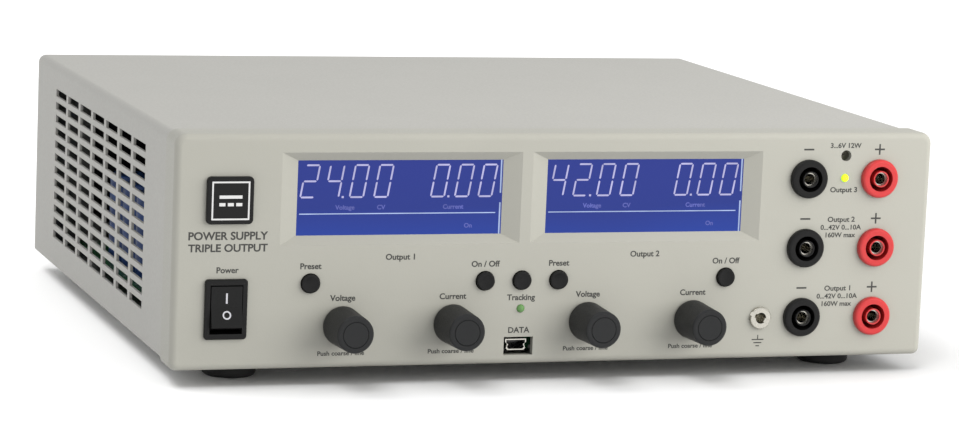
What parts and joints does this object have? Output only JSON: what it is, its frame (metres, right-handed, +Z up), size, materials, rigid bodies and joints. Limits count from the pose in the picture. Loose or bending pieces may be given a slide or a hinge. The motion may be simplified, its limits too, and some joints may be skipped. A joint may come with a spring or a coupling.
{
  "type": "bench power supply",
  "caption": "Low wide bench power supply with backlit displays, push-and-turn knobs, shrouded sockets, a rocker switch and slotted sheet steel sides.",
  "frame": {"origin": "on the surface that the feet stand on, under the middle of the whole object", "axes": "+X to the right of the front panel, -Y out of the front panel, +Z up"},
  "size_m": [0.282, 0.2632, 0.0885],
  "materials": {
    "painted_steel": "satin powder coat",
    "bezel_plastic": "fine texture",
    "zinc_steel": "satin",
    "black_plastic": "matt",
    "knob_plastic": "soft matt",
    "red_plastic": "satin",
    "rubber": "matt",
    "emblem_white": "satin",
    "display": "backlit",
    "backlight": "satin",
    "nickel": "polished",
    "circuit_board": "satin",
    "led_green": "clear",
    "led_lit": "lit",
    "trimmer_brown": "satin",
    "brass": "satin",
    "aluminium": "anodised",
    "copper_winding": "varnished",
    "capacitor_sleeve": "satin",
    "wire_sleeve": "satin"
  },
  "bodies": {
    "case": {"front_bezel": "bezel_plastic", "top_cover": "painted_steel", "chassis_base": "zinc_steel", "rear_panel": "painted_steel", "case_screws": "zinc_steel", "rubber_feet": "rubber", "foot_screws": "zinc_steel", "badge_plate": "black_plastic", "badge_emblem": "emblem_white", "switch_housing": "black_plastic", "switch_terminals": "brass", "display_glasses": "display", "display_backlights": "backlight", "front_board": "circuit_board", "encoder_housings": "zinc_steel", "tact_switches": "black_plastic", "tracking_led": "led_green", "output_led": "led_lit", "trimmer_body": "trimmer_brown", "data_port": "nickel", "sockets_negative": "black_plastic", "sockets_positive": "red_plastic", "socket_contacts": "nickel", "earth_socket": "nickel", "panel_nuts": "zinc_steel", "main_board": "circuit_board", "board_screws": "zinc_steel", "heat_sinks": "aluminium", "wound_parts": "copper_winding", "capacitors": "capacitor_sleeve", "mains_wires": "wire_sleeve", "fan_housing": "black_plastic", "fan_guard": "zinc_steel", "mains_inlet": "black_plastic", "inlet_pins": "nickel"},
    "rocker": {"power_rocker": "black_plastic"},
    "rotor_1": {"encoder_rotor_1": "black_plastic"},
    "knob_1": {"knob_1": "knob_plastic", "knob_cap_1": "knob_plastic", "encoder_shaft_1": "nickel"},
    "rotor_2": {"encoder_rotor_2": "black_plastic"},
    "knob_2": {"knob_2": "knob_plastic", "knob_cap_2": "knob_plastic", "encoder_shaft_2": "nickel"},
    "rotor_3": {"encoder_rotor_3": "black_plastic"},
    "knob_3": {"knob_3": "knob_plastic", "knob_cap_3": "knob_plastic", "encoder_shaft_3": "nickel"},
    "rotor_4": {"encoder_rotor_4": "black_plastic"},
    "knob_4": {"knob_4": "knob_plastic", "knob_cap_4": "knob_plastic", "encoder_shaft_4": "nickel"},
    "button_preset_1": {"button_preset_1": "black_plastic"},
    "button_output_1": {"button_output_1": "black_plastic"},
    "button_tracking": {"button_tracking": "black_plastic"},
    "button_preset_2": {"button_preset_2": "black_plastic"},
    "button_output_2": {"button_output_2": "black_plastic"},
    "trimmer_rotor": {"trimmer_rotor": "trimmer_brown"},
    "fan_rotor": {"fan_rotor": "black_plastic"},
    "fuse_drawer": {"fuse_drawer": "black_plastic"}
  },
  "joints": [
    {"name": "rocker_tip", "type": "hinge", "parent": "case", "child": "rocker", "pos_m": [-0.122, -0.1086, 0.028], "axis": [1, 0, 0], "range_deg": [0, 16]},
    {"name": "knob_1_turn", "type": "hinge", "parent": "case", "child": "rotor_1", "pos_m": [-0.0803, -0.1076, 0.0215], "axis": [0, -1, 0], "continuous": true},
    {"name": "knob_1_push", "type": "slide", "parent": "rotor_1", "child": "knob_1", "axis": [0, 1, 0], "range_m": [0, 0.0006], "stiffness_N_per_m": 300, "springref_m": -0.003},
    {"name": "knob_2_turn", "type": "hinge", "parent": "case", "child": "rotor_2", "pos_m": [-0.0402, -0.1076, 0.0215], "axis": [0, -1, 0], "continuous": true},
    {"name": "knob_2_push", "type": "slide", "parent": "rotor_2", "child": "knob_2", "axis": [0, 1, 0], "range_m": [0, 0.0006], "stiffness_N_per_m": 300, "springref_m": -0.003},
    {"name": "knob_3_turn", "type": "hinge", "parent": "case", "child": "rotor_3", "pos_m": [0.01, -0.1076, 0.0215], "axis": [0, -1, 0], "continuous": true},
    {"name": "knob_3_push", "type": "slide", "parent": "rotor_3", "child": "knob_3", "axis": [0, 1, 0], "range_m": [0, 0.0006], "stiffness_N_per_m": 300, "springref_m": -0.003},
    {"name": "knob_4_turn", "type": "hinge", "parent": "case", "child": "rotor_4", "pos_m": [0.05, -0.1076, 0.0215], "axis": [0, -1, 0], "continuous": true},
    {"name": "knob_4_push", "type": "slide", "parent": "rotor_4", "child": "knob_4", "axis": [0, 1, 0], "range_m": [0, 0.0006], "stiffness_N_per_m": 300, "springref_m": -0.003},
    {"name": "button_preset_1_push", "type": "slide", "parent": "case", "child": "button_preset_1", "axis": [0, 1, 0], "range_m": [0, 0.0008], "stiffness_N_per_m": 60, "springref_m": -0.003},
    {"name": "button_output_1_push", "type": "slide", "parent": "case", "child": "button_output_1", "axis": [0, 1, 0], "range_m": [0, 0.0008], "stiffness_N_per_m": 60, "springref_m": -0.003},
    {"name": "button_tracking_push", "type": "slide", "parent": "case", "child": "button_tracking", "axis": [0, 1, 0], "range_m": [0, 0.0008], "stiffness_N_per_m": 60, "springref_m": -0.003},
    {"name": "button_preset_2_push", "type": "slide", "parent": "case", "child": "button_preset_2", "axis": [0, 1, 0], "range_m": [0, 0.0008], "stiffness_N_per_m": 60, "springref_m": -0.003},
    {"name": "button_output_2_push", "type": "slide", "parent": "case", "child": "button_output_2", "axis": [0, 1, 0], "range_m": [0, 0.0008], "stiffness_N_per_m": 60, "springref_m": -0.003},
    {"name": "trimmer_turn", "type": "hinge", "parent": "case", "child": "trimmer_rotor", "pos_m": [0.1069, -0.1076, 0.0803], "axis": [0, -1, 0], "range_deg": [-135, 135]},
    {"name": "fan_spin", "type": "hinge", "parent": "case", "child": "fan_rotor", "pos_m": [0.052, 0.1164, 0.047], "axis": [0, 1, 0], "continuous": true},
    {"name": "fuse_drawer_slide", "type": "slide", "parent": "case", "child": "fuse_drawer", "axis": [0, 1, 0], "range_m": [0, 0.015]}
  ]
}
